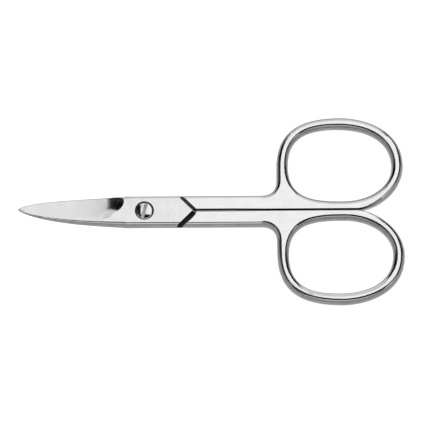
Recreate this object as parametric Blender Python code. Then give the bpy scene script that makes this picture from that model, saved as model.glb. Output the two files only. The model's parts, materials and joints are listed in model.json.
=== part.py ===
"""Curved nail scissors, 90 mm long: two forged halves crossed on a slotted screw.

Each half is one forging. Its finger bow, shank and joint plate share one flat facet on
each face, with a rounded flank round every outline, and its blade is hollow ground on
the outer face and curves up to the tip. The halves are the same forging turned over
about the long axis, apart from the curve of the blades and the hole for the screw.

A half is made with its outer face up and its bow on the +Y side, the screw's axis being
its Z axis and its two faces lying half a thickness above and below z = 0.
"""
import math

import bmesh
import bpy
from mathutils import Matrix, Vector
from mathutils.geometry import interpolate_bezier

MM = 0.001

# Thickness and running clearances
half_thickness = 1.6 * MM
plate_clearance = 0.14 * MM
closing_clearance = 0.24 * MM
shank_clearance = 0.40 * MM

# Blade
blade_length = 29.4 * MM
blade_root_width = 7.32 * MM
tip_land = 0.30 * MM
ricasso_length = 4.9 * MM
edge_thickness = 0.10 * MM
edge_bevel_width = 0.24 * MM
edge_bevel_drop = 0.10 * MM
least_bevel_share = 0.3
grind_ramp_radius = 16.0 * MM
grind_skim = 0.05 * MM
grind_roof = 3.0 * MM
blade_curve_radius = 85.0 * MM
blade_curve_start = 7.5 * MM
blade_bulge_length_share = 0.935
blade_bulge_width_share = 0.74
blade_flank_share = 0.29
tip_thickness_share = 0.40
hollow_share = 0.16
blade_steps = 18
blade_crowding = 0.75
grind_steps = 8
ramp_steps = 8

# Joint plate
joint_width = 7.50 * MM
joint_flank = 1.00 * MM
plate_step = 0.30 * MM
chevron_length = 11.2 * MM
shoulder_gap = 1.25 * MM
shoulder_bow_share = 0.25
groove_width = 0.88 * MM
groove_depth = 0.30 * MM
groove_floor_share = 0.66

# Shank
shank_width = 7.54 * MM
shank_flank = 1.00 * MM
split_flank = 0.18 * MM
split_taper_start = 21.0 * MM
split_taper_end = 28.0 * MM
neck_radius = 3.6 * MM
neck_bow_share = 0.6
neck_shank_share = 0.3

# Finger bow
bow_distance = 33.6 * MM
hole_length = 24.2 * MM
hole_width = 17.6 * MM
bow_wall = 2.77 * MM
contact_wall = 2.18 * MM
upper_bow_flank = 1.22 * MM
lower_bow_flank = 1.32 * MM
flank_growth_share = 0.5
bow_steps = 14

# Where the hole's far, top, near and low points lie along its length and width,
# and how far its curve runs on straight at each of them
hole_far_share = 0.472
hole_top_share = 0.48
hole_near_share = 0.477
hole_low_share = 0.533
hole_far_handle_shares = (0.554, 0.645)
hole_top_handle_shares = (0.611, 0.543)
hole_near_handle_shares = (0.848, 0.964)
hole_low_handle_shares = (0.496, 0.566)

# The same for the bow's outer side, from where the two bows part
parting_share = 0.67
bow_far_share = 0.477
bow_top_share = 0.504
bow_near_share = 0.443
parting_handle_share = 0.444
bow_far_handle_shares = (0.566, 0.763)
bow_top_handle_shares = (0.392, 0.765)
bow_near_handle_share = 0.613

# Rounded flank: how full its section is (1 is an ellipse and less is squarer), and how
# its bands crowd towards the facets
flank_fullness = 0.9
flank_crowding = 1.25
flank_steps = 8
least_mitre = 0.4
crease_angle = math.radians(25)

# Pivot screw
head_radius = 1.96 * MM
head_height = 0.84 * MM
head_dome = 0.36 * MM
head_rise = 0.05 * MM
head_chamfer = 0.09 * MM
head_clearance = 0.20 * MM
rim_chamfer = 0.08 * MM
seat_clearance = 0.05 * MM
journal_radius = 1.30 * MM
journal_clearance = 0.05 * MM
thread_radius = 1.15 * MM
thread_clearance = 0.05 * MM
end_chamfer = 0.15 * MM
end_recess = 0.04 * MM
slot_width = 0.66 * MM
slot_depth = 0.38 * MM
slot_angle = math.radians(-15)
round_segments = 64
dome_steps = 6

# Every cutter runs on past the part by this much, and cuts closer than this count as one
overrun = 1.0 * MM
slice_tolerance = 0.0001 * MM

# Places worked out from the sizes above
split_edge = closing_clearance / 2
shank_edge = shank_clearance / 2
inner_face = plate_clearance / 2
hole_near = bow_distance
hole_far = bow_distance + hole_length
hole_low = split_edge + contact_wall
hole_top = hole_low + hole_width
bow_near = hole_near - bow_wall
bow_far = hole_far + bow_wall
bow_top = hole_top + bow_wall
pivot_x = (blade_length - bow_far) / 2
counterbore_radius = head_radius + head_clearance
head_floor = half_thickness + head_rise - head_height
counterbore_floor = head_floor - seat_clearance


def clear_scene():
    """Remove whatever the scene holds."""
    for old in list(bpy.data.objects):
        bpy.data.objects.remove(old, do_unlink=True)


def steel(name, shade, roughness):
    """A plain metal for one piece."""
    material = bpy.data.materials.new(name)
    material.use_nodes = True
    shader = material.node_tree.nodes["Principled BSDF"]
    shader.inputs["Base Color"].default_value = (shade, shade, shade, 1)
    shader.inputs["Metallic"].default_value = 1
    shader.inputs["Roughness"].default_value = roughness
    return material


def new_object(name, bm):
    """Turn a bmesh into an object with its normals facing out."""
    bmesh.ops.recalc_face_normals(bm, faces=bm.faces[:])
    mesh = bpy.data.meshes.new(name)
    bm.to_mesh(mesh)
    bm.free()
    made = bpy.data.objects.new(name, mesh)
    bpy.context.scene.collection.objects.link(made)
    return made


def curve_run(start, first_handle, last_handle, end, steps):
    """Points along one cubic curve, without its last point."""
    ends = [Vector(point) for point in (start, first_handle, last_handle, end)]
    return interpolate_bezier(*ends, steps + 1)[:-1]


def blade_side():
    """The blade's outline on its +Y side, from the tip to the root, closer near the tip."""
    tip = Vector((-blade_length, 0))
    root = Vector((-ricasso_length, blade_root_width / 2))
    land = Vector((-blade_length, tip_land / 2))
    bulge = Vector((
        -ricasso_length - (blade_length - ricasso_length) * blade_bulge_length_share,
        blade_bulge_width_share * blade_root_width / 2,
    ))
    side = []
    for step in range(blade_steps + 1):
        t = (step / blade_steps) ** blade_crowding
        s = 1 - t
        side.append(tip * s**3 + land * 3 * s**2 * t + bulge * 3 * s * t**2 + root * t**3)
    return side


def thickness_at(x):
    """Half the forging's thickness at x, thinner from the ricasso to the tip."""
    run = min(max((-ricasso_length - x) / (blade_length - ricasso_length), 0), 1)
    return half_thickness * (1 - run * (1 - tip_thickness_share))


def hole_outline():
    """The finger hole as four curves through its outermost points."""
    far = Vector((hole_far, hole_low + hole_far_share * hole_width))
    top = Vector((hole_near + hole_top_share * hole_length, hole_top))
    near = Vector((hole_near, hole_low + hole_near_share * hole_width))
    low = Vector((hole_near + hole_low_share * hole_length, hole_low))
    knots = (far, top, near, low)
    shares = (hole_far_handle_shares, hole_top_handle_shares,
              hole_near_handle_shares, hole_low_handle_shares)
    points = []
    for index, knot in enumerate(knots):
        following = knots[(index + 1) % len(knots)]
        reach = following - knot
        upright = Vector((0, reach.y))
        level = Vector((reach.x, 0))
        leaving, arriving = (upright, level) if index % 2 == 0 else (level, upright)
        first = knot + leaving * shares[index][1]
        last = following - arriving * shares[(index + 1) % len(knots)][0]
        points += curve_run(knot, first, last, following, bow_steps)
    return points


def bow_side():
    """The bow's outer side, from where the bows part round to its near side."""
    parting = Vector((hole_near + parting_share * hole_length, split_edge))
    far = Vector((bow_far, split_edge + bow_far_share * (bow_top - split_edge)))
    top = Vector((bow_near + bow_top_share * (bow_far - bow_near), bow_top))
    near = Vector((bow_near, split_edge + bow_near_share * (bow_top - split_edge)))
    points = curve_run(
        parting,
        parting + Vector(((far.x - parting.x) * parting_handle_share, 0)),
        far - Vector((0, (far.y - parting.y) * bow_far_handle_shares[0])),
        far, bow_steps)
    points += curve_run(
        far,
        far + Vector((0, (top.y - far.y) * bow_far_handle_shares[1])),
        top + Vector(((far.x - top.x) * bow_top_handle_shares[0], 0)),
        top, bow_steps)
    points += curve_run(
        top,
        top - Vector(((top.x - near.x) * bow_top_handle_shares[1], 0)),
        near + Vector((0, (top.y - near.y) * bow_near_handle_share)),
        near, bow_steps)
    return points + [near]


def half_outline(bow_flank):
    """Each outline point with its flank's width, anticlockwise from the tip.

    The blade's points come in pairs at the same x on its two sides.
    """
    side = blade_side()
    tip_flank = blade_flank_share * side[1].y
    outline = [(side[0].x, 0, tip_flank)]
    for point in side[1:]:
        outline.append((point.x, -point.y, blade_flank_share * point.y))
    joint_side = joint_width / 2
    shank_side = shank_width / 2
    plate_start = -ricasso_length + plate_step
    plate_end = chevron_length + plate_step
    outline.append((plate_start, -joint_side, joint_flank))
    outline.append((plate_end, -joint_side, joint_flank))
    outline.append((plate_end, shank_edge, split_flank))
    outline.append((split_taper_start, shank_edge, split_flank))
    outline.append((split_taper_end, split_edge, split_flank))
    outline.append((hole_near, split_edge, split_flank))
    bow = bow_side()
    for index, point in enumerate(bow):
        grown = min(index / (bow_steps * flank_growth_share), 1)
        outline.append((point.x, point.y, split_flank + grown * (bow_flank - split_flank)))
    neck_x = bow_near
    neck_y = shank_side + neck_radius
    neck = curve_run(
        (neck_x, neck_y),
        (neck_x, neck_y - neck_radius * neck_bow_share),
        (neck_x - neck_radius * neck_shank_share, shank_side),
        (neck_x - neck_radius, shank_side), bow_steps)
    for point in neck:
        outline.append((point.x, point.y, bow_flank))
    outline.append((neck_x - neck_radius, shank_side, shank_flank))
    outline.append((plate_end, shank_side, shank_flank))
    outline.append((plate_end - joint_flank, joint_side, joint_flank))
    outline.append((plate_start, joint_side, joint_flank))
    for point in reversed(side[1:]):
        outline.append((point.x, point.y, blade_flank_share * point.y))
    return outline


def inward_directions(points):
    """The direction into the material at each corner of a closed outline, mitred."""
    directions = []
    for index, point in enumerate(points):
        before = (point - points[index - 1]).normalized()
        after = (points[(index + 1) % len(points)] - point).normalized()
        along = (before + after).normalized()
        inward = Vector((-along.y, along.x))
        reach = max(inward.dot(Vector((-after.y, after.x))), least_mitre)
        directions.append(inward / reach)
    return directions


def flank_profile():
    """Shares of a flank's width and of its height, from the top facet's edge to the lower one."""
    quarter = []
    for step in range(flank_steps + 1):
        angle = math.pi / 2 * (step / flank_steps) ** flank_crowding
        out = math.sin(angle) ** flank_fullness
        height = math.cos(angle) ** flank_fullness
        quarter.append((1 - out, height))
    turned_over = [(inset, -height) for inset, height in reversed(quarter[:-1])]
    return quarter + turned_over


def flank_rings(bm, points, flanks):
    """Rings of vertices down a rounded flank, joined by faces, from the top facet's edge."""
    directions = inward_directions(points)
    rings = []
    for inset, height in flank_profile():
        ring = []
        for point, direction, flank in zip(points, directions, flanks):
            place = point + direction * flank * inset
            ring.append(bm.verts.new((place.x, place.y, height * thickness_at(place.x))))
        rings.append(ring)
    for upper, lower in zip(rings, rings[1:]):
        count = len(upper)
        for index in range(count):
            other = (index + 1) % count
            bm.faces.new((upper[index], lower[index], lower[other], upper[other]))
    return rings


def ring_edges(bm, ring):
    """The edges that already join a ring's vertices."""
    return [bm.edges.get((ring[index - 1], ring[index])) for index in range(len(ring))]


def fill_facet(bm, outer, inner):
    """Close one flat facet: cross strips along the blade, then the rest round the hole."""
    last = blade_steps
    bm.faces.new((outer[0], outer[1], outer[-1]))
    for index in range(1, last):
        bm.faces.new((outer[index], outer[index + 1], outer[-index - 1], outer[-index]))
    root = bm.edges.get((outer[last], outer[-last]))
    handle = outer[last:len(outer) - last + 1]
    edges = [bm.edges.get(pair) for pair in zip(handle, handle[1:])]
    edges.append(root)
    bmesh.ops.triangle_fill(bm, use_beauty=True, use_dissolve=False,
                            edges=edges + ring_edges(bm, inner))


def forged_blank(name, bow_flank):
    """The whole forging before it is machined, its faces flat and its flanks rounded."""
    outline = half_outline(bow_flank)
    points = [Vector((x, y)) for x, y, flank in outline]
    flanks = [flank for x, y, flank in outline]
    hole = list(reversed(hole_outline()))
    bm = bmesh.new()
    outer = flank_rings(bm, points, flanks)
    inner = flank_rings(bm, hole, [bow_flank] * len(hole))
    fill_facet(bm, outer[0], inner[0])
    fill_facet(bm, outer[-1], inner[-1])
    return new_object(name, bm)


def prism(name, corners, bottom, top):
    """A straight-walled solid between two heights."""
    bm = bmesh.new()
    floor = [bm.verts.new((corner[0], corner[1], bottom)) for corner in corners]
    base = bm.faces.new(floor)
    raised = bmesh.ops.extrude_face_region(bm, geom=[base])
    lifted = [item for item in raised["geom"] if isinstance(item, bmesh.types.BMVert)]
    bmesh.ops.translate(bm, vec=(0, 0, top - bottom), verts=lifted)
    return new_object(name, bm)


def turned(name, profile):
    """A solid turned about Z from a profile of radius and height that starts and ends on it."""
    bm = bmesh.new()
    rings = []
    for radius, height in profile:
        if radius == 0:
            rings.append([bm.verts.new((0, 0, height))])
            continue
        ring = []
        for index in range(round_segments):
            angle = 2 * math.pi * index / round_segments
            ring.append(bm.verts.new((radius * math.cos(angle), radius * math.sin(angle), height)))
        rings.append(ring)
    for first, second in zip(rings, rings[1:]):
        for index in range(round_segments):
            other = (index + 1) % round_segments
            corners = [first[index % len(first)], first[other % len(first)],
                       second[other % len(second)], second[index % len(second)]]
            bm.faces.new(list(dict.fromkeys(corners)))
    return new_object(name, bm)


def cut(target, cutter):
    """Take one solid away from another with a live Boolean."""
    cutter.hide_render = True
    cutter.display_type = 'WIRE'
    modifier = target.modifiers.new(cutter.name, 'BOOLEAN')
    modifier.operation = 'DIFFERENCE'
    modifier.solver = 'EXACT'
    modifier.object = cutter


def layer_cutter(name):
    """The space below the joint plate and the blade, up to the shank's shoulder."""
    side = joint_width / 2 + overrun
    shoulder_x = chevron_length + shoulder_gap
    foot_x = shoulder_x - side + split_edge
    shoulder = curve_run(
        (shoulder_x, -overrun),
        (shoulder_x, side * shoulder_bow_share),
        (shoulder_x - side / 2 + split_edge, side * (1 - shoulder_bow_share)),
        (foot_x, side), bow_steps)
    front = -blade_length - overrun
    corners = [(front, -side), (shoulder_x, -side)] + [tuple(point) for point in shoulder]
    corners += [(foot_x, side), (front, side)]
    return prism(name, corners, -half_thickness - overrun, inner_face)


def chevron_cutter(name):
    """The corner beyond the joint plate's slanting end, where the other shank lies."""
    side = joint_width / 2 + overrun
    far = chevron_length + plate_step + overrun
    corners = [(chevron_length - side, -side), (far, -side), (far, -split_edge),
               (chevron_length - split_edge, -split_edge)]
    top = half_thickness + overrun
    return prism(name, corners, -top, top)


def groove_cutter(name):
    """The slanting groove that carries the plate's end line on across its own shank."""
    bm = bmesh.new()
    slant = Vector((-1, 1, 0)).normalized()
    across = Vector((1, 1, 0)).normalized()
    start = Vector((chevron_length, 0, half_thickness)) - slant * overrun
    run = slant * (joint_width + overrun)
    section = [
        Vector((0, 0, 0)),
        across * groove_width * groove_floor_share - Vector((0, 0, groove_depth)),
        across * groove_width,
        across * groove_width + Vector((0, 0, overrun)),
        Vector((0, 0, overrun)),
    ]
    first = [bm.verts.new(start + point) for point in section]
    last = [bm.verts.new(start + run + point) for point in section]
    bm.faces.new(first)
    bm.faces.new(last)
    for index in range(len(section)):
        bm.faces.new((first[index - 1], first[index], last[index], last[index - 1]))
    return new_object(name, bm)


def grind_stations():
    """Where the grinding is measured along the blade, and how far it has risen there."""
    stations = [(-blade_length - overrun, 0)]
    rise_end = half_thickness + overrun
    reach = math.sqrt(rise_end * (2 * grind_ramp_radius - rise_end))
    depth = half_thickness - inner_face - edge_thickness
    ramp_length = math.sqrt(depth * (2 * grind_ramp_radius - depth))
    ramp_start = -ricasso_length - ramp_length
    for point in blade_side():
        if point.x < ramp_start:
            stations.append((point.x, 0))
    for step in range(ramp_steps + 1):
        along = reach * step / ramp_steps
        rise = grind_ramp_radius - math.sqrt(grind_ramp_radius**2 - along**2)
        stations.append((ramp_start + along, rise))
    return stations


def width_at(x):
    """Half the blade's width at x, kept open at the tip and full past the root."""
    side = blade_side()
    least = tip_land
    for near, far in zip(side, side[1:]):
        if near.x <= x < far.x:
            return max(near.y + (far.y - near.y) * (x - near.x) / (far.x - near.x), least)
    return least if x < side[0].x else side[-1].y


def grind_shares(bevel_share):
    """Where the ground face is measured across the blade, from past the ridge to past the edge."""
    shares = [(1 - bevel_share) * step / grind_steps for step in range(-1, grind_steps + 1)]
    return shares + [1, 1 + bevel_share]


def ground_row(x, rise):
    """One row of points across the ground face at x, which ends in the edge's fine bevel."""
    width = width_at(x)
    ridge = -width * (1 - blade_flank_share)
    bevel_share = min(edge_bevel_width / (width - ridge), least_bevel_share)
    low = inner_face + edge_thickness + edge_bevel_drop
    high = thickness_at(x) - grind_skim
    row = []
    for share in grind_shares(bevel_share):
        hollow = 4 * hollow_share * share * (1 - share)
        drop = max(share - 1 + bevel_share, 0) / bevel_share * edge_bevel_drop
        height = high + (low - high) * (share + hollow) + rise - drop
        row.append(Vector((x, ridge + (width - ridge) * share, height)))
    return row


def grind_cutter(name):
    """What the wheel takes: a hollow face from the ridge by the spine to the edge."""
    rows = [ground_row(x, rise) for x, rise in grind_stations()]
    top = half_thickness + grind_roof
    bm = bmesh.new()
    sheet = []
    roof = []
    for row in rows:
        sheet.append([bm.verts.new(point) for point in row])
        roof.append([bm.verts.new((point.x, point.y, top)) for point in row])
    for grid in (sheet, roof):
        for row, following in zip(grid, grid[1:]):
            for index in range(len(row) - 1):
                bm.faces.new((row[index], row[index + 1], following[index + 1], following[index]))
    rims = [(sheet[0], roof[0]), (sheet[-1], roof[-1])]
    rims.append(([row[0] for row in sheet], [row[0] for row in roof]))
    rims.append(([row[-1] for row in sheet], [row[-1] for row in roof]))
    for lower, upper in rims:
        for index in range(len(lower) - 1):
            bm.faces.new((lower[index], lower[index + 1], upper[index + 1], upper[index]))
    return new_object(name, bm)


def counterbore_cutter(name):
    """The hole for the screw's journal and its sunk head, with a broken rim."""
    top = half_thickness + overrun
    bore = journal_radius + journal_clearance
    return turned(name, [
        (0, -top), (bore, -top), (bore, counterbore_floor),
        (counterbore_radius, counterbore_floor),
        (counterbore_radius, half_thickness - rim_chamfer),
        (counterbore_radius + rim_chamfer, half_thickness),
        (counterbore_radius + rim_chamfer, top), (0, top),
    ])


def thread_cutter(name):
    """The hole that the screw's end sits in."""
    top = half_thickness + overrun
    bore = thread_radius + thread_clearance
    return turned(name, [(0, -top), (bore, -top), (bore, top), (0, top)])


def bake(target):
    """Make a piece's Booleans part of its mesh and remove their cutters."""
    graph = bpy.context.evaluated_depsgraph_get()
    baked = bpy.data.meshes.new_from_object(target.evaluated_get(graph))
    cutters = [modifier.object for modifier in target.modifiers]
    target.modifiers.clear()
    target.data = baked
    for cutter in cutters:
        bpy.data.objects.remove(cutter, do_unlink=True)


def curve_blade(target):
    """Slice the blade at stations across it, then raise it along an arc to the tip."""
    bm = bmesh.new()
    bm.from_mesh(target.data)
    stations = [point.x for point in blade_side()] + [-blade_curve_start]
    for x in stations[1:]:
        if x > -blade_curve_start:
            continue
        geometry = bm.verts[:] + bm.edges[:] + bm.faces[:]
        bmesh.ops.bisect_plane(bm, geom=geometry, dist=slice_tolerance,
                               plane_co=(x, 0, 0), plane_no=(1, 0, 0))
    for vert in bm.verts:
        along = -blade_curve_start - vert.co.x
        if along > 0:
            vert.co.z += blade_curve_radius - math.sqrt(blade_curve_radius**2 - along**2)
    bm.to_mesh(target.data)
    bm.free()


def finish(target, material):
    """Place a piece on the pivot, give it its metal and smooth its round faces."""
    target.location = (pivot_x, 0, half_thickness)
    target.data.materials.clear()
    target.data.materials.append(material)
    target.data.shade_smooth()
    target.data.set_sharp_from_angle(angle=crease_angle)


def machined_half(name, bow_flank, hole_cutter):
    """A forged blank, ground, relieved and bored."""
    half = forged_blank(name, bow_flank)
    cut(half, layer_cutter(name + "_relief"))
    cut(half, chevron_cutter(name + "_plate_end"))
    cut(half, grind_cutter(name + "_grinding"))
    cut(half, groove_cutter(name + "_groove"))
    cut(half, hole_cutter)
    bake(half)
    return half


def upper_half():
    """The half that lies on top and carries the sunk head of the screw."""
    half = machined_half("upper_half", upper_bow_flank, counterbore_cutter("head_hole"))
    curve_blade(half)
    finish(half, steel("polished steel, upper half", 0.62, 0.12))
    return half


def lower_half():
    """The half below, turned over about the long axis, that the screw is held in."""
    half = machined_half("lower_half", lower_bow_flank, thread_cutter("thread_hole"))
    half.data.transform(Matrix.Rotation(math.pi, 4, 'X'))
    curve_blade(half)
    finish(half, steel("polished steel, lower half", 0.62, 0.12))
    return half


def dome_profile(radius, crown, sag):
    """Radius and height from a dome's rim up to its crown, which lies sag above the rim."""
    sphere = (radius**2 + sag**2) / (2 * sag)
    profile = []
    for step in range(dome_steps):
        out = radius * (1 - step / dome_steps)
        profile.append((out, crown - sphere + math.sqrt(sphere**2 - out**2)))
    return profile + [(0, crown)]


def pivot_screw():
    """The slotted screw: a low domed head, a plain journal and the threaded end."""
    crown = half_thickness + head_rise
    rim = crown - head_dome - head_chamfer
    shoulder = -inner_face + seat_clearance
    end = -half_thickness + end_recess
    profile = [
        (0, end), (thread_radius - end_chamfer, end), (thread_radius, end + end_chamfer),
        (thread_radius, shoulder), (journal_radius, shoulder), (journal_radius, head_floor),
        (head_radius, head_floor), (head_radius, rim),
    ]
    profile += dome_profile(head_radius - head_chamfer, crown, head_dome)
    screw = turned("pivot_screw", profile)
    reach = head_radius + overrun
    half_slot = slot_width / 2
    corners = [(-half_slot, -reach), (half_slot, -reach), (half_slot, reach), (-half_slot, reach)]
    slot = prism("screw_slot", corners, crown - slot_depth, crown + overrun)
    slot.data.transform(Matrix.Rotation(slot_angle, 4, 'Z'))
    cut(screw, slot)
    bake(screw)
    finish(screw, steel("turned steel", 0.58, 0.22))
    return screw


clear_scene()
upper_half()
lower_half()
pivot_screw()
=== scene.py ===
# %% [markdown]
# # Curved nail scissors in polished steel
#
# Two forged halves cross on a slotted screw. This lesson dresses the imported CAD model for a
# studio picture. The CAD model is the fixed frame: it gives every size and place, so a piece
# goes where the frame says and nothing has to be fitted by eye.

# %% Load the frame and keep its box
import json
import math

import bpy
from mathutils import Matrix, Vector


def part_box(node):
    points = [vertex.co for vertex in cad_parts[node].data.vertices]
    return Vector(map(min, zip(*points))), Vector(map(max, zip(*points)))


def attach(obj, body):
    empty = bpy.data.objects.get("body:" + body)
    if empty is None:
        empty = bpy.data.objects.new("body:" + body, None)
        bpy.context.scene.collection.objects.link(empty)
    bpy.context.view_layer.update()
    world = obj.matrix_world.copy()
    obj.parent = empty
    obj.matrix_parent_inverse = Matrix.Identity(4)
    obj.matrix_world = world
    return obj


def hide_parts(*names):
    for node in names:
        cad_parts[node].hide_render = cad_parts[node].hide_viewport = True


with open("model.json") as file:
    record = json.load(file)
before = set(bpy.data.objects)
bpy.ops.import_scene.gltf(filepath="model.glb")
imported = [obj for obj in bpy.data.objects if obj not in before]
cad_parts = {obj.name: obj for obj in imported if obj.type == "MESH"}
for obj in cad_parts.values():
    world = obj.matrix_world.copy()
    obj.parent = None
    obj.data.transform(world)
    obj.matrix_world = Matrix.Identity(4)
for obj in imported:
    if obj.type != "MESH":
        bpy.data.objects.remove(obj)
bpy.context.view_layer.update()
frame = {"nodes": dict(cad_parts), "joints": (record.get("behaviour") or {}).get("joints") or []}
MM = 0.001
pivot = Vector(frame["joints"][0]["pos_m"])
half_thickness = pivot.z
print("pivot in mm:", [round(value / MM, 3) for value in pivot])

# %% [markdown]
# ## Camera
#
# The picture looks down on the scissors, tilted a little to the front, so the front walls show
# as narrow bands. A short lens close by would show the nearer bow larger than the other, so
# this is a long lens from 0.75 m, which keeps the outline nearly free of perspective. The
# small turn about the line of sight and the small offsets place the object as in the picture.

# %% Place the camera
distance = 0.75
picture_width = 98.75 * MM
tilt = math.radians(16)
roll = math.radians(-0.36)
aim = Vector((0.05 * MM, 0.10 * MM, half_thickness))
bpy.ops.object.camera_add()
camera = bpy.context.object
camera.name = "camera"
camera.data.sensor_width = 36
camera.data.lens = camera.data.sensor_width * distance / picture_width
camera.location = aim + Vector((0, -math.sin(tilt), math.cos(tilt))) * distance
camera.rotation_euler = (Matrix.Rotation(tilt, 3, 'X') @ Matrix.Rotation(roll, 3, 'Z')).to_euler()
bpy.context.scene.camera = camera
print("lens in mm:", round(camera.data.lens, 1))

# %% [markdown]
# ## Node helper and colours
#
# Every material below is a small node tree. One function adds a node with its settings and
# links, and one turns a colour written as on a paint chart into the linear values that the
# shader needs.

# %% Define the helpers for materials
def linear(code):
    """An sRGB hex colour as linear values with full alpha."""
    values = [int(code[start:start + 2], 16) / 255 for start in (1, 3, 5)]
    return [v / 12.92 if v <= 0.04045 else ((v + 0.055) / 1.055) ** 2.4 for v in values] + [1]


def add_node(tree, kind, settings=None, **inputs):
    """Add a node, set its properties, then set or link its inputs by name or by number."""
    node = tree.nodes.new(kind)
    for key, value in (settings or {}).items():
        setattr(node, key, value)
    for key, value in inputs.items():
        name = key.replace("_", " ")
        socket = node.inputs[int(key[1:]) if key[1:].isdigit() else name]
        if isinstance(value, bpy.types.NodeSocket):
            tree.links.new(value, socket)
        else:
            socket.default_value = value
    return node


def new_material(name):
    """A material with only its shader and output, and its node tree."""
    material = bpy.data.materials.new(name)
    material.use_nodes = True
    tree = material.node_tree
    return material, tree, tree.nodes["Principled BSDF"]


# %% [markdown]
# ## Floor and world
#
# The floor and the world are plain white to the camera and in reflections. Stronger lamps would
# whiten the floor too, but they would bleach the steel with it. So Light Path tells which rays
# look straight at floor and world: those see full white, while the light that falls on the
# scene stays softer, so the steel keeps its tones and the floor keeps the shadow.

# %% Build the floor
def seen_directly(tree):
    """1 for camera, glossy and transmission rays, 0 for the rest."""
    path = add_node(tree, "ShaderNodeLightPath")
    first = add_node(tree, "ShaderNodeMath", {"operation": "MAXIMUM"},
                     _0=path.outputs["Is Camera Ray"], _1=path.outputs["Is Glossy Ray"])
    return add_node(tree, "ShaderNodeMath", {"operation": "MAXIMUM"},
                    _0=first.outputs[0], _1=path.outputs["Is Transmission Ray"]).outputs[0]


floor_radius, floor_glow = 6, 0.8
bpy.ops.mesh.primitive_circle_add(vertices=96, radius=floor_radius, fill_type='NGON',
                                  location=(0, 0, 0))
floor = bpy.context.object
floor.name = "floor"
# White paper: matt, a little off white, so that a soft shadow shows on it.
material, tree, shader = new_material("white paper floor")
shader.inputs["Base Color"].default_value = linear("#e8e8e8")
shader.inputs["Roughness"].default_value = 0.9
shader.inputs["Specular IOR Level"].default_value = 0.1
glow = add_node(tree, "ShaderNodeMath", {"operation": "MULTIPLY"},
                _0=seen_directly(tree), _1=floor_glow)
shader.inputs["Emission Color"].default_value = linear("#ffffff")
tree.links.new(glow.outputs[0], shader.inputs["Emission Strength"])
floor.data.materials.append(material)
print("floor radius in m:", floor_radius)

# %% Light the world
world_light, world_white = 0.5, 1.0
world = bpy.data.worlds.new("white studio")
bpy.context.scene.world = world
world.use_nodes = True
tree = world.node_tree
background = tree.nodes["Background"]
background.inputs["Color"].default_value = linear("#ffffff")
strength = add_node(tree, "ShaderNodeMapRange", _0=seen_directly(tree),
                    _3=world_light, _4=world_white)
tree.links.new(strength.outputs[0], background.inputs["Strength"])
print("world strength:", world_light, "as light,", world_white, "when seen")

# %% [markdown]
# ## Soft lights and dark cards
#
# Polished steel shows its surroundings, so the stage makes most of the picture. Two large
# soft lights stand above and behind. Dark cards hang at both sides and overhead to the front.
# The flats mirror the bright part, and where a rounded wall turns over it mirrors a card,
# which draws the dark line beside every flat. The hollow mirrors the far left card at the root
# of the blade, and beyond it a pale card behind, graded from side to side. Another pale card,
# further to the front, keeps the front walls a little below white. Such lines could be painted
# on the steel, but they would stay put when the view changes. The cards show only in
# reflections: the camera doesn't see them, and they cast no shadow.

# %% Add the soft lights
def soft_light(name, place, size, radiance):
    """A rectangular soft light at a place, facing the scissors."""
    bpy.ops.object.light_add(type='AREA', location=place)
    lamp = bpy.context.object
    lamp.name = name
    lamp.data.shape = 'RECTANGLE'
    lamp.data.size, lamp.data.size_y = size
    lamp.data.energy = radiance * math.pi * size[0] * size[1]
    lamp.rotation_euler = (-Vector(place)).to_track_quat('-Z', 'Y').to_euler()
    print(name, "power in W:", round(lamp.data.energy, 2))


soft_light("overhead_softbox", (0.3, 0.75, 1.2), (1.7, 1.5), 0.25)
soft_light("back_softbox", (0, 1.7, 0.40), (2.2, 0.8), 0.35)

# %% Make the cards' materials
grade_left, grade_right = -0.12, 0.13


def card_material(name, colour, glow=0):
    """A matt card. Its glow is one strength, or a pair that it grades between, left and right."""
    material, tree, shader = new_material(name)
    shader.inputs["Base Color"].default_value = linear(colour)
    shader.inputs["Roughness"].default_value = 0.95
    shader.inputs["Specular IOR Level"].default_value = 0.1
    shader.inputs["Emission Color"].default_value = linear("#ffffff")
    if isinstance(glow, tuple):
        place = add_node(tree, "ShaderNodeTexCoord").outputs["Object"]
        across = add_node(tree, "ShaderNodeSeparateXYZ", Vector=place).outputs["X"]
        graded = add_node(tree, "ShaderNodeMapRange", Value=across,
                          _1=grade_left, _2=grade_right, _3=glow[0], _4=glow[1])
        tree.links.new(graded.outputs[0], shader.inputs["Emission Strength"])
    else:
        shader.inputs["Emission Strength"].default_value = glow
    return material


# Dyed card: the black and the dark grey read as the dark lines in the steel.
black_card = card_material("black card", "#080808")
dark_card = card_material("dark grey card", "#484848")
# Lit card: about as bright as the white round it, so the steel shows pale grey turning to white.
grey_card = card_material("grey card", "#303030", 0.92)
graded_card = card_material("graded card", "#080808", (0.97, 1.22))
print("card materials:", [card.name for card in (black_card, dark_card, grey_card, graded_card)])

# %% Hang the cards
def hang_card(name, material, corners):
    """A card with its four corners in metres, that only reflections see."""
    bpy.ops.mesh.primitive_plane_add(size=1)
    card = bpy.context.object
    card.name = name
    for vertex, corner in zip(card.data.vertices, corners):
        vertex.co = corner
    card.data.materials.append(material)
    card.visible_camera = card.visible_diffuse = card.visible_shadow = False


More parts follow.
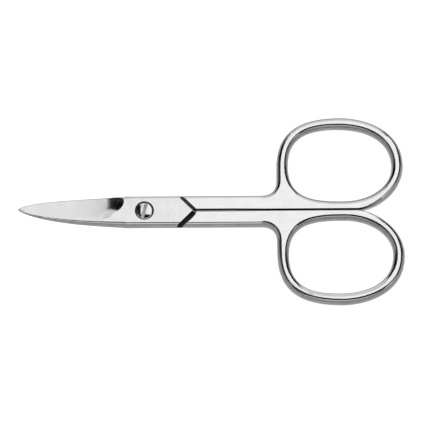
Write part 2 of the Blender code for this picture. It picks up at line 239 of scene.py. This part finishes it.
foot, top = 0.01, 1.0
hang_card("left_card", dark_card,
          [(-1.3, 0.45, foot), (-0.30, -0.35, top), (-1.3, 0.54, foot), (-0.30, 0.32, top)])
hang_card("far_left_card", black_card,
          [(-1.3, 0.54, foot), (-0.30, 0.32, top), (-1.3, 1.5, foot), (-0.33, 0.84, top)])
hang_card("right_card", dark_card,
          [(0.55, -0.3, top), (1.35, 0.45, foot), (0.55, 1.1, top), (1.35, 1.95, foot)])
hang_card("front_top_card", black_card,
          [(-0.6, -0.50, top), (0.6, -0.50, top), (-0.6, -0.01, top), (0.6, -0.01, top)])
hang_card("front_card", grey_card,
          [(-1.0, -1.3, 0.95), (1.0, -1.3, 0.95), (-0.8, -0.51, top), (0.8, -0.51, top)])
hang_card("back_card", graded_card,
          [(-0.30, 0.46, top), (0.28, 0.46, top), (-0.34, 1.05, top), (0.28, 0.95, top)])

# %% [markdown]
# ## Steels
#
# The whole object is one stainless steel, and what changes from face to face is mostly how it was
# worked. Some steels are painted light instead: the darker rounded walls, the dark joint behind the
# plate, the dark slot walls and part of the dark grey of groove and bore are painted shade, and the
# lighter rims that face the back are a painted highlight. One plain steel with painted marks would
# need a map for each half, so instead one function makes every steel from the place on the object:
# a base colour that wanders between two greys along the tool's marks, a gloss that changes in soft
# clouds as on a handled tool, and a fine bump along the same marks. The spacing of the marks is
# given in millimetres along X, Y and Z, so marks drawn out along Y have a large second number. Real
# marks are a few hundredths of a millimetre apart, which is too fine to show, so they are drawn
# 0.25 to 0.5 mm apart.

# %% Make the function for a worked steel
cloud_size = 3
mark_detail, mark_roughness, cloud_detail = 2, 0.6, 3
noise_low, noise_high = 0.7, 1.3
bump_strength = 0.5


def steel(name, colours, roughness, marks, relief):
    """A stainless steel with tool marks: two greys, two roughnesses, marks and relief in mm."""
    material, tree, shader = new_material(name)
    shader.inputs["Metallic"].default_value = 1
    place = add_node(tree, "ShaderNodeTexCoord").outputs["Object"]
    drawn = add_node(tree, "ShaderNodeMapping", Vector=place,
                     Scale=[1 / (size * MM) for size in marks])
    lines = add_node(tree, "ShaderNodeTexNoise", Vector=drawn.outputs[0], Scale=1,
                     Detail=mark_detail, Roughness=mark_roughness).outputs["Fac"]
    spread = add_node(tree, "ShaderNodeMapping", Vector=place,
                      Scale=[1 / (cloud_size * MM)] * 3)
    clouds = add_node(tree, "ShaderNodeTexNoise", Vector=spread.outputs[0], Scale=1,
                      Detail=cloud_detail).outputs["Fac"]
    both = add_node(tree, "ShaderNodeMath", {"operation": "ADD"}, _0=lines, _1=clouds).outputs[0]
    shade = add_node(tree, "ShaderNodeMapRange", Value=both, _1=noise_low, _2=noise_high).outputs[0]
    tint = add_node(tree, "ShaderNodeMix", {"data_type": 'RGBA'}, _0=shade,
                    _6=linear(colours[0]), _7=linear(colours[1]))
    tree.links.new(tint.outputs[2], shader.inputs["Base Color"])
    gloss = add_node(tree, "ShaderNodeMapRange", Value=both, _1=noise_low, _2=noise_high,
                     _3=roughness[1], _4=roughness[0])
    tree.links.new(gloss.outputs[0], shader.inputs["Roughness"])
    bump = add_node(tree, "ShaderNodeBump", Height=lines, Strength=bump_strength,
                    Distance=relief * MM)
    tree.links.new(bump.outputs[0], shader.inputs["Normal"])
    print(name, colours, roughness)
    return material


# %% Make the bright steels
# Mirror polished along the length: the brightest flats, on shanks and bows.
polished = steel("polished stainless steel", ("#d4d4d4", "#dcdcdc"), (0.07, 0.13),
                 marks=(5, 0.35, 0.35), relief=0.0004)
# Brushed across on a belt: plate and mating face are a little darker, with short upright marks.
brushed = steel("cross brushed stainless steel", ("#cccccc", "#d6d6d6"), (0.08, 0.16),
                marks=(0.30, 4, 4), relief=0.0006)
# Ground hollow on a wheel, across the blade: softer and greyer, with close marks.
ground = steel("hollow ground stainless steel", ("#cacaca", "#d0d0d0"), (0.11, 0.15),
               marks=(0.30, 6, 6), relief=0.0003)
# The last strip beside the ridge is finer and brighter, where the polishing wheel ran over it.
finished = steel("fine ground stainless steel", ("#d6d6d6", "#dedede"), (0.07, 0.11),
                 marks=(0.40, 6, 6), relief=0.0003)

# %% Make the grey and dark steels
# Honed on a stone: the narrow bevel of the cutting edge, a thin greyer line.
honed = steel("honed stainless steel", ("#9c9c9c", "#b4b4b4"), (0.16, 0.26),
              marks=(0.25, 2, 2), relief=0.0006)
# Tumbled with ceramic stones: the rounded walls have a fine pitted satin. Their dark grey is painted
# shade, darker than the steel is, for the darker surroundings that the walls mirror.
wall_steel_with_painted_shade = steel("rounded wall steel with painted shade", ("#767676", "#8a8a8a"), (0.11, 0.19),
                marks=(0.40, 0.40, 0.40), relief=0.0010)
# The rims that face away, between the satin walls and the flats, have a painted highlight: a
# lighter steel for the bright light behind, which they mirror. Its marks are as from a cloth wheel.
rim_steel_with_painted_highlight = steel("rear rim steel with painted highlight", ("#b0b0b0", "#bcbcbc"), (0.10, 0.18),
               marks=(2.0, 0.5, 0.5), relief=0.0006)
# Milled with a small cutter: the groove across the shank and the bore, rough and dark grey. The
# dark grey is partly painted shade, for the shadow deep in the groove and the bore.
milled_steel_and_painted_shade = steel("groove and bore steel, partly painted shade", ("#424242", "#6c6c6c"), (0.35, 0.55),
               marks=(0.30, 0.30, 0.30), relief=0.0060)
# Sawn with a slitting wheel: the floor of the screw's slot, matt and mid grey.
sawn = steel("sawn stainless steel", ("#848484", "#b0b0b0"), (0.25, 0.40),
             marks=(0.25, 2.0, 0.25), relief=0.0040)
# Painted shade: a dark steel, darker than the steel is, for the shaded joint deep behind the plate
# and the slot's walls.
dark_steel_as_painted_shade = steel("dark steel as painted shade", ("#262626", "#464646"), (0.35, 0.55),
               marks=(0.30, 0.30, 0.30), relief=0.0040)

# %% [markdown]
# ## Halves
#
# Each half is one forging, and the CAD node has its true shape as flat triangles in one
# colour. What it lacks is the finish: walls that read as round, flats that stay flat, and a
# different steel where a different tool passed, with painted shade and highlight on some faces.
# It could be modelled again, but that would only repeat the CAD. So each half starts from a copy
# of the node's mesh whose triangles are merged. A few points are then moved by fractions of a
# millimetre, and the faces are picked out by their place and direction.

# %% Copy a node as one merged mesh
same_point, same_plane = 0.0005 * MM, math.radians(0.05)


def merged_copy(node, name):
    """A piece that starts from a CAD node's mesh, merged and freed of needless edges."""
    bpy.ops.object.select_all(action='DESELECT')
    piece = bpy.data.objects.new(name, frame["nodes"][node].data.copy())
    bpy.context.scene.collection.objects.link(piece)
    piece.data.materials.clear()
    bpy.context.view_layer.objects.active = piece
    piece.select_set(True)
    bpy.ops.object.mode_set(mode='EDIT')
    bpy.ops.mesh.select_all(action='SELECT')
    bpy.ops.mesh.remove_doubles(threshold=same_point)
    bpy.ops.mesh.dissolve_limited(angle_limit=same_plane)
    bpy.ops.object.mode_set(mode='OBJECT')
    print(name, "faces:", len(piece.data.polygons))
    return piece


# %% [markdown]
# ## Where each tool passed
#
# A half is described in its own frame: outer face up, bow to +Y, measured from the pivot. The
# lower half is the same forging turned over, so its Y and Z change sign. Flats point straight
# up or down, and rims that face the back are between flat and wall; they are picked by their
# direction in the scene and get a lighter steel, a painted highlight. The joint plate is the
# flat round the screw, and the mating face under it slides on the other half. The hollow lies
# beyond the plate and leans towards the cutting edge, with the narrow edge bevel beside it.
# The groove crosses the shank at 45 degrees. The bore goes down round the screw, and the
# relief behind the plate is deep, and painted dark as shade. Faces could be picked one by one,
# but rules on place and direction serve both halves.

# %% Sizes that tell the regions apart
# Along the half, from the pivot. The tip is on the negative side.
hollow_start, plate_end = -4.4 * MM, -12 * MM
chevron_length = 11.2 * MM
painted_shade_start, relief_start, relief_end = 7.6 * MM, 8.5 * MM, 16 * MM
# Across the half: the groove's width, the bore's radius, and where the edge bevel begins.
groove_width, bore_radius, edge_side = 0.88 * MM, 2.4 * MM, 2.2 * MM
# Depths below the outer face that part one region from the next.
skin, plate_depth, bore_top = 0.01 * MM, 0.2 * MM, 0.09 * MM
groove_floor, relief_top = 0.32 * MM, 0.35 * MM
inside_back = 2 * half_thickness - 0.02 * MM
# The mating face lies at most this far from the middle plane.
near_middle = 0.1 * MM
# How far up a face points: 1 is straight up, 0.87 is 30 degrees off.
least_up = {"plate": 0.998, "mating": 0.99, "deep": 0.9, "flat": 0.87, "hollow": 0.8}
rear_up = (0.80, 0.985)
# How far a face leans to the side of the cutting edge, or of the back for the rear rims.
hollow_lean, edge_lean, rear_lean = 0.01, 0.33, 0.15
print("hollow starts at", round(hollow_start / MM, 1), "mm, groove at", round(chevron_length / MM, 1))


# %% Name the region of a face
def own(vector, side):
    """A direction, or a distance from the pivot, as the half itself has it."""
    return vector * Vector((1, side, side))


def in_hollow(normal, place):
    """True beyond the plate, where the face leans towards the cutting edge."""
    return place.x < hollow_start and normal.z > least_up["hollow"] and normal.y > hollow_lean


def region_of(face, side):
    """The region of a half that a face lies in, or None on the rounded walls."""
    normal, place = own(face.normal, side), own(face.center - pivot, side)
    depth = half_thickness - place.z
    across = (place.x - chevron_length + place.y) / math.sqrt(2)
    if 0 < across < groove_width and place.y > 0 and skin < depth < groove_floor:
        return "groove"
    if abs(place.z) < near_middle and abs(normal.z) > least_up["mating"] and place.x < relief_start:
        return "mating"
    if place.xy.length < bore_radius and bore_top < depth < inside_back:
        return "bore"
    if relief_start < place.x < relief_end and relief_top < depth < inside_back \
            and abs(normal.z) > least_up["deep"]:
        return "deep"
    if in_hollow(normal, place):
        by_edge = place.x < plate_end or place.y > edge_side
        return "edge" if normal.y > edge_lean and by_edge else "hollow"
    if abs(depth) < plate_depth and normal.z > least_up["plate"] and plate_end < place.x and across < 0:
        return "plate"
    # The rims that face the back of the stage, by their direction in the scene, get a painted
    # highlight.
    if face.normal.y > rear_lean and rear_up[0] < abs(face.normal.z) < rear_up[1]:
        return "rear"
    return "flat" if abs(normal.z) > least_up["flat"] else None


# %% [markdown]
# ## The strip beside the ridge
#
# Along the ridge the polishing wheel ran over the hollow's last facets and left a bright strip.
# It leans hardly more than the hollow beside it, so its direction doesn't tell it. It is found
# by its neighbours instead: it is the row of hollow faces that share an edge with the spine's
# wall, which leans the other way.

# %% Sort the faces and find the strip beside the ridge
spine_lean, spine_up = -0.03, 0.3


def sort_faces(piece, side):
    """The numbers of a half's faces, by the region that they lie in."""
    regions = {}
    for face in piece.data.polygons:
        regions.setdefault(region_of(face, side), []).append(face.index)
    return regions


def find_strip(piece, regions, side):
    """Move the hollow faces that touch the spine's wall into a region of their own."""
    wall = set()
    for face in piece.data.polygons:
        normal = own(face.normal, side)
        beyond_plate = (face.center - pivot).x < hollow_start
        if normal.y < spine_lean and normal.z > spine_up and beyond_plate:
            wall.update(face.edge_keys)
    faces = piece.data.polygons
    regions["strip"] = [number for number in regions["hollow"] if wall & set(faces[number].edge_keys)]
    regions["hollow"] = [number for number in regions["hollow"] if number not in regions["strip"]]


# %% [markdown]
# ## Small changes of shape
#
# Grinding by hand leaves forms that the CAD model's straight cuts don't have. At the root of the
# hollow the wheel ran out in a bulge towards the screw. Where the shanks meet, the inner corner
# of the plate's end reaches a little further and closes the joint, so that no light comes
# through. The shoulder that faces the other half's plate is filed at a slant, which keeps the
# gap narrow up to its outer end. And the far end of the mating face, deep in the joint, is cut
# off so that it can be painted dark as shade. New cuts could make these forms, but a cut leaves
# slivers beside a face that it nearly touches, so the copy's own points are moved, and only the
# mating face is cut.

# %% Let the hollow run up to the plate
bulge_middle, bulge_half_width, bulge_reach = 1.4 * MM, 2.3 * MM, 0.95 * MM
ramp_start, ramp_length = -14 * MM, 6 * MM


def widen_hollow(piece, side):
    """Draw the ramp at the root of the hollow towards the plate, most in the middle of its bulge."""
    ramp = set()
    for face in piece.data.polygons:
        if in_hollow(own(face.normal, side), own(face.center - pivot, side)):
            ramp.update(face.vertices)
    for number in ramp:
        point = piece.data.vertices[number]
        place = own(point.co - pivot, side)
        bulge = max(1 - ((place.y - bulge_middle) / bulge_half_width) ** 2, 0)
        near_plate = min(max((place.x - ramp_start) / ramp_length, 0), 1)
        point.co.x += bulge_reach * bulge * near_plate
    print(piece.name, "ramp points moved:", len(ramp))


# %% Close the corner and slant the shoulder
# Places in millimetres from the pivot, in the half's own frame.
corner_x, corner_width, corner_levels = 11.5, 0.25, (0.05, 0.12)
corner_out, corner_aside = 0.66 * MM, 0.06 * MM
shoulder_reach, shoulder_level = (9, 12.3), 0.08
shoulder_inner, shoulder_slant = 1.2, 0.23


def close_joint(piece, side):
    """Draw out the inner corner of the plate's end, and the outer end of the shoulder to it."""
    corner, shoulder = 0, 0
    for point in piece.data.vertices:
        place = own(point.co - pivot, side) / MM
        if corner_levels[0] < place.z < corner_levels[1] and abs(place.x - corner_x) < 0.02 \
                and abs(place.y) < corner_width:
            point.co.x += corner_out
            point.co.y -= corner_aside * side if place.y < 0 else 0
            corner += 1
        elif place.z < shoulder_level and shoulder_reach[0] < place.x < shoulder_reach[1] \
                and place.y > shoulder_inner:
            point.co.x -= shoulder_slant * MM * (place.y - shoulder_inner)
            shoulder += 1
    print(piece.name, "points moved at the corner:", corner, "and on the shoulder:", shoulder)


# %% Part the mating face where the relief starts
def split_mating_face(piece):
    """Cut the face in the middle plane across, so that its far end can take the dark painted shade."""
    for face in piece.data.polygons:
        in_middle = abs(face.center.z - pivot.z) < near_middle
        face.select = abs(face.normal.z) > least_up["mating"] and in_middle
    bpy.ops.object.mode_set(mode='EDIT')
    bpy.ops.mesh.select_mode(type='FACE')
    bpy.ops.mesh.bisect(plane_co=(pivot.x + painted_shade_start, 0, 0), plane_no=(1, 0, 0))
    bpy.ops.object.mode_set(mode='OBJECT')
    print(piece.name, "faces with the mating face cut:", len(piece.data.polygons))


# %% [markdown]
# ## Finish of the halves
#
# Each region gets the steel of its tool, or a steel painted darker as shade or lighter as a
# highlight, and the border of a region stays a crisp line, as between two ground faces. Within a
# region the narrow facets are smoothed, so that the walls read as round. A bevel on every edge
# would soften the borders too, which on real scissors are sharp, so the normals alone are
# weighted by area, which keeps the flats flat.

# %% Give a steel to chosen faces
def give_steel(piece, material, faces):
    """Assign a material to the faces with these numbers, and keep their border crisp."""
    piece.data.materials.append(material)
    piece.active_material_index = len(piece.data.materials) - 1
    bpy.ops.object.mode_set(mode='EDIT')
    bpy.ops.mesh.select_mode(type='FACE')
    bpy.ops.mesh.select_all(action='DESELECT')
    bpy.ops.object.mode_set(mode='OBJECT')
    for number in faces:
        piece.data.polygons[number].select = True
    bpy.ops.object.mode_set(mode='EDIT')
    bpy.ops.object.material_slot_assign()
    bpy.ops.mesh.region_to_loop()
    bpy.ops.mesh.mark_sharp()
    bpy.ops.object.mode_set(mode='OBJECT')
    print(piece.name, material.name, len(faces), "faces")


# %% Finish both halves
smooth_angle = math.radians(30)
# Of these, the rear rims' steel is a painted highlight, the deep joint's dark steel is painted shade,
# and the groove's and bore's dark grey is partly painted shade.
steel_of = {"flat": polished, "rear": rim_steel_with_painted_highlight, "plate": brushed, "mating": brushed, "hollow": ground,
            "strip": finished, "edge": honed, "groove": milled_steel_and_painted_shade, "bore": milled_steel_and_painted_shade, "deep": dark_steel_as_painted_shade}


def finish_half(node, name, side):
    """Give a half its steels and its shading. Side is 1 for the upper half, -1 for the lower."""
    piece = merged_copy(node, name)
    # The rounded walls keep this first steel, whose dark grey is painted shade.
    piece.data.materials.append(wall_steel_with_painted_shade)
    widen_hollow(piece, side)
    close_joint(piece, side)
    split_mating_face(piece)
    regions = sort_faces(piece, side)
    find_strip(piece, regions, side)
    for region, material in steel_of.items():
        give_steel(piece, material, regions.get(region, []))
    bpy.ops.object.shade_smooth_by_angle(angle=smooth_angle)
    weighted = piece.modifiers.new("flat facets", 'WEIGHTED_NORMAL')
    weighted.keep_sharp = True
    weighted.weight = 80
    bpy.ops.object.modifier_apply(modifier=weighted.name)
    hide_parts(node)
    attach(piece, node)


finish_half("upper_half", "upper_half_steel", 1)
finish_half("lower_half", "lower_half_steel", -1)

# %% [markdown]
# ## Screw
#
# The screw is a turned part: a low domed head, a smooth journal that the upper half turns on,
# and a thinner end in the lower half. It starts as a cylinder with the head's diameter. Insets
# and small lifts of its top face turn the flat into the dome, and insets and extrusions of its
# bottom face make the journal and the end. A spin of the outline would do as well, but then
# the centre has to be merged. The slot is milled last, with a box as the cutter, and a fine
# bevel breaks its edges, as on the real one, where they catch the light.

# %% Measure the screw in the frame
screw_low, screw_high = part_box("pivot_screw")
head_radius = (screw_high[0] - screw_low[0]) / 2
crown, screw_end = screw_high[2], screw_low[2]
dome_sag, chamfer, head_height = 0.27 * MM, 0.09 * MM, 0.84 * MM
journal_radius, journal_end = 1.30 * MM, half_thickness - 0.02 * MM
thread_radius, end_chamfer = 1.15 * MM, 0.15 * MM
print("head radius in mm:", round(head_radius / MM, 3), "crown:", round(crown / MM, 3))


# %% Make the two moves of the turning
def cap_step(inset, lift):
    """Draw the selected cap in and move it along Z."""
    bpy.ops.mesh.inset(thickness=inset)
    bpy.ops.transform.translate(value=(0, 0, lift))


def pick_cap(piece, direction):
    """Select only the end face that points up (1) or down (-1)."""
    bpy.ops.object.mode_set(mode='OBJECT')
    for face in piece.data.polygons:
        face.select = face.normal.z * direction > 0.99
    bpy.ops.object.mode_set(mode='EDIT')


# %% Turn the head and its dome
rim = crown - dome_sag - chamfer
floor_of_head = crown - head_height
bpy.ops.object.select_all(action='DESELECT')
bpy.ops.mesh.primitive_cylinder_add(vertices=128, radius=head_radius, depth=rim - floor_of_head,
                                    location=(pivot.x, pivot.y, (rim + floor_of_head) / 2))
screw = bpy.context.object
screw.name = "screw_steel"
bpy.ops.object.transform_apply(location=True, rotation=True, scale=True)
bpy.ops.object.mode_set(mode='EDIT')
bpy.ops.mesh.select_mode(type='FACE')
pick_cap(screw, 1)
cap_step(chamfer, chamfer)
dome_radius = head_radius - chamfer
sphere = (dome_radius ** 2 + dome_sag ** 2) / (2 * dome_sag)
steps = 14
for step in range(steps - 1):
    here, there = (dome_radius * (1 - ring / steps) for ring in (step, step + 1))
    lift = math.sqrt(sphere ** 2 - there ** 2) - math.sqrt(sphere ** 2 - here ** 2)
    cap_step(here - there, lift)
bpy.ops.mesh.poke()
print("radius of the dome's sphere in mm:", round(sphere / MM, 2))

# %% Turn the journal and the end
pick_cap(screw, -1)
bpy.ops.mesh.inset(thickness=head_radius - journal_radius)
drop = journal_end - floor_of_head
bpy.ops.mesh.extrude_region_move(TRANSFORM_OT_translate={"value": (0, 0, drop)})
bpy.ops.mesh.inset(thickness=journal_radius - thread_radius)
drop = screw_end + end_chamfer - journal_end
bpy.ops.mesh.extrude_region_move(TRANSFORM_OT_translate={"value": (0, 0, drop)})
cap_step(end_chamfer, -end_chamfer)
bpy.ops.object.mode_set(mode='OBJECT')
print("screw faces:", len(screw.data.polygons))

# %% Mill the slot
slot_width, slot_depth, slot_angle = 0.66 * MM, 0.38 * MM, math.radians(-15)
slot_level, cutter_height = crown - slot_depth, 1 * MM
bpy.ops.object.select_all(action='DESELECT')
bpy.ops.mesh.primitive_cube_add(size=1, location=(pivot.x, pivot.y, slot_level + cutter_height / 2))
cutter = bpy.context.object
cutter.scale = (slot_width, 3 * head_radius, cutter_height)
cutter.rotation_euler = (0, 0, slot_angle)
bpy.ops.object.transform_apply(location=True, rotation=True, scale=True)
bpy.context.view_layer.objects.active = screw
slot = screw.modifiers.new("slot", 'BOOLEAN')
slot.object = cutter
slot.solver = 'EXACT'
bpy.ops.object.modifier_apply(modifier=slot.name)
bpy.data.objects.remove(cutter)
screw.select_set(True)
print("screw faces with the slot:", len(screw.data.polygons))

# %% Break the slot's sharp edges
# The radius keeps clear of the head's own wall, which is upright like the slot's walls.
broken_edge, clear_of_wall, upright = 0.07 * MM, head_radius - 0.05 * MM, 0.05
walls, tops = set(), set()
for face in screw.data.polygons:
    if face.center.z > slot_level and (face.center - pivot).xy.length < clear_of_wall:
        (walls if abs(face.normal.z) < upright else tops).update(face.edge_keys)
bpy.ops.object.mode_set(mode='EDIT')
bpy.ops.mesh.select_mode(type='EDGE')
bpy.ops.mesh.select_all(action='DESELECT')
bpy.ops.object.mode_set(mode='OBJECT')
for edge in screw.data.edges:
    edge.select = edge.key in walls and edge.key in tops
bpy.ops.object.mode_set(mode='EDIT')
bpy.ops.mesh.bevel(offset=broken_edge, segments=1)
bpy.ops.object.mode_set(mode='OBJECT')
print("screw faces with broken edges:", len(screw.data.polygons))

# %% [markdown]
# ## Finish of the screw
#
# A turned face has rings from the lathe tool round its axis. Rings cut in the mesh would be
# too fine to hold, so the Wave texture in its rings setting draws them, and a Mapping node
# puts its centre on the pivot. The floor of the slot is left from the slitting wheel, grey and
# matt, and its walls are painted dark, as shade.

# %% Make the turned steel
# Turned on a lathe: a bright head with fine rings. Wave has a ring every 2 pi / 20 of a unit,
# so in millimetres a scale of 2.2 puts them 0.14 apart, coarser than real ones so that they show.
ring_scale, ring_wobble, ring_detail = 2.2, 0.4, 2
turned, tree, shader = new_material("turned stainless steel")
shader.inputs["Metallic"].default_value = 1
place = add_node(tree, "ShaderNodeTexCoord").outputs["Object"]
centred = add_node(tree, "ShaderNodeMapping", {"vector_type": 'TEXTURE'}, Vector=place,
                   Location=pivot, Scale=(MM, MM, MM))
rings = add_node(tree, "ShaderNodeTexWave", {"wave_type": 'RINGS', "rings_direction": 'Z'},
                 Vector=centred.outputs[0], Scale=ring_scale, Distortion=ring_wobble,
                 Detail=ring_detail).outputs["Fac"]
tint = add_node(tree, "ShaderNodeMix", {"data_type": 'RGBA'}, _0=rings,
                _6=linear("#d0d0d0"), _7=linear("#dcdcdc"))
tree.links.new(tint.outputs[2], shader.inputs["Base Color"])
gloss = add_node(tree, "ShaderNodeMapRange", Value=rings, _3=0.06, _4=0.11)
tree.links.new(gloss.outputs[0], shader.inputs["Roughness"])
bump = add_node(tree, "ShaderNodeBump", Height=rings, Strength=0.4, Distance=0.0005 * MM)
tree.links.new(bump.outputs[0], shader.inputs["Normal"])
screw.data.materials.append(turned)
print("rings apart in mm:", round(2 * math.pi / 20 / ring_scale, 2))

# %% Give the slot its steels
margin = 0.01 * MM
slot_floor, slot_walls = [], []
for face in screw.data.polygons:
    above = face.center.z > slot_level - margin
    inside = (face.center - pivot).xy.length < head_radius - margin
    if above and inside and face.normal.z > 0.999 and face.center.z < slot_level + margin:
        slot_floor.append(face.index)
    elif above and inside and abs(face.normal.z) < upright:
        slot_walls.append(face.index)
give_steel(screw, sawn, slot_floor)
# The slot's walls get the dark steel: painted shade.
give_steel(screw, dark_steel_as_painted_shade, slot_walls)
bpy.ops.object.shade_smooth_by_angle(angle=smooth_angle)
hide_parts("pivot_screw")
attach(screw, "lower_half")

# %% [markdown]
# ## Colours
#
# The colours are shown as they are, with the Standard view.

# %% Choose how colours are shown
bpy.context.scene.view_settings.view_transform = 'Standard'
